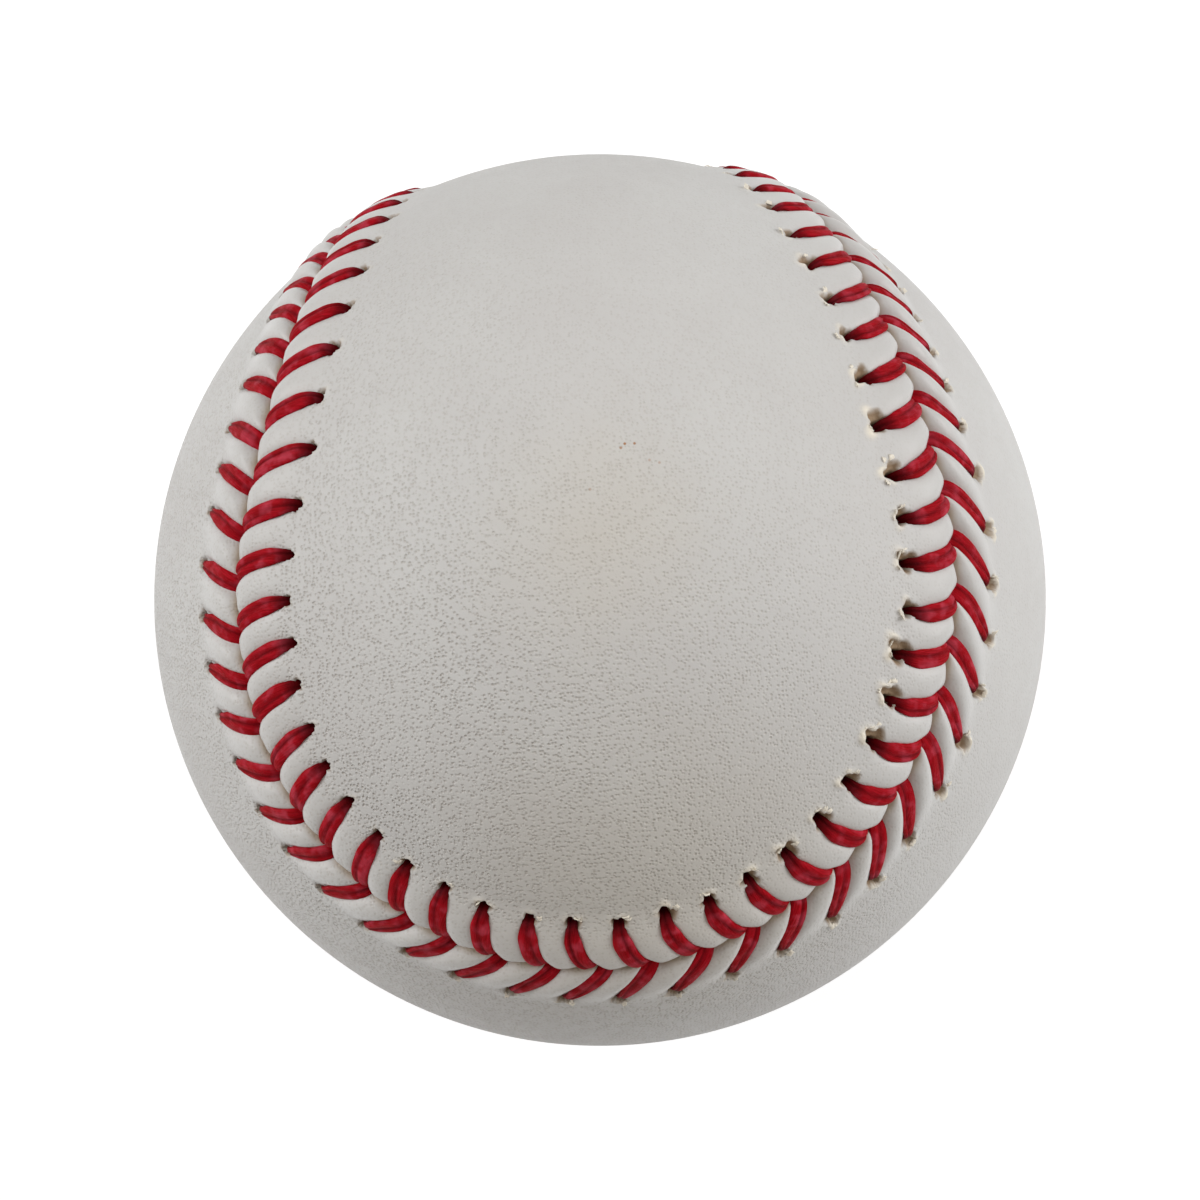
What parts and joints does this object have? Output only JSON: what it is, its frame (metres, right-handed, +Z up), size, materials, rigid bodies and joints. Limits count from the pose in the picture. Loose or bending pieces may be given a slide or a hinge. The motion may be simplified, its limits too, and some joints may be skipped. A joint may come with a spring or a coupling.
{
  "type": "baseball",
  "caption": "Leather-covered hardball with a raised herringbone-stitched seam, over cement, wound yarn and a cushioned cork centre.",
  "frame": {"origin": "centre of the ball", "axes": "+Z up through the middle of one lobe of cover panel A, +Y through the middle of panel A's waist, +X through a lobe of panel B; the ball rests at -Z on panel A's other lobe"},
  "size_m": [0.0742, 0.0742, 0.0742],
  "materials": {
    "cork": "granulated cork bound with rubber",
    "black_rubber": "moulded matt rubber",
    "red_rubber": "moulded matt rubber",
    "grey_wool": "three-ply wool yarn, tightly wound",
    "white_wool": "three-ply wool yarn, tightly wound",
    "fine_cotton": "fine cotton-polyester yarn, tightly wound",
    "cement": "dried rubber cement",
    "white_leather": "tawed white leather, fine pores, soft sheen",
    "red_thread": "waxed two-ply thread"
  },
  "bodies": {
    "root": {"cork_core": "cork", "inner_shell_upper": "black_rubber", "inner_shell_lower": "black_rubber", "gasket_right": "red_rubber", "gasket_left": "red_rubber", "rubber_jacket": "red_rubber", "winding_grey_four_ply": "grey_wool", "winding_white_three_ply": "white_wool", "winding_grey_three_ply": "grey_wool", "winding_fine_cotton": "fine_cotton", "cement_a": "cement", "cement_b": "cement", "cover_panel_a": "white_leather", "cover_panel_b": "white_leather", "stitch_thread_a": "red_thread", "stitch_thread_b": "red_thread"}
  },
  "joints": []
}
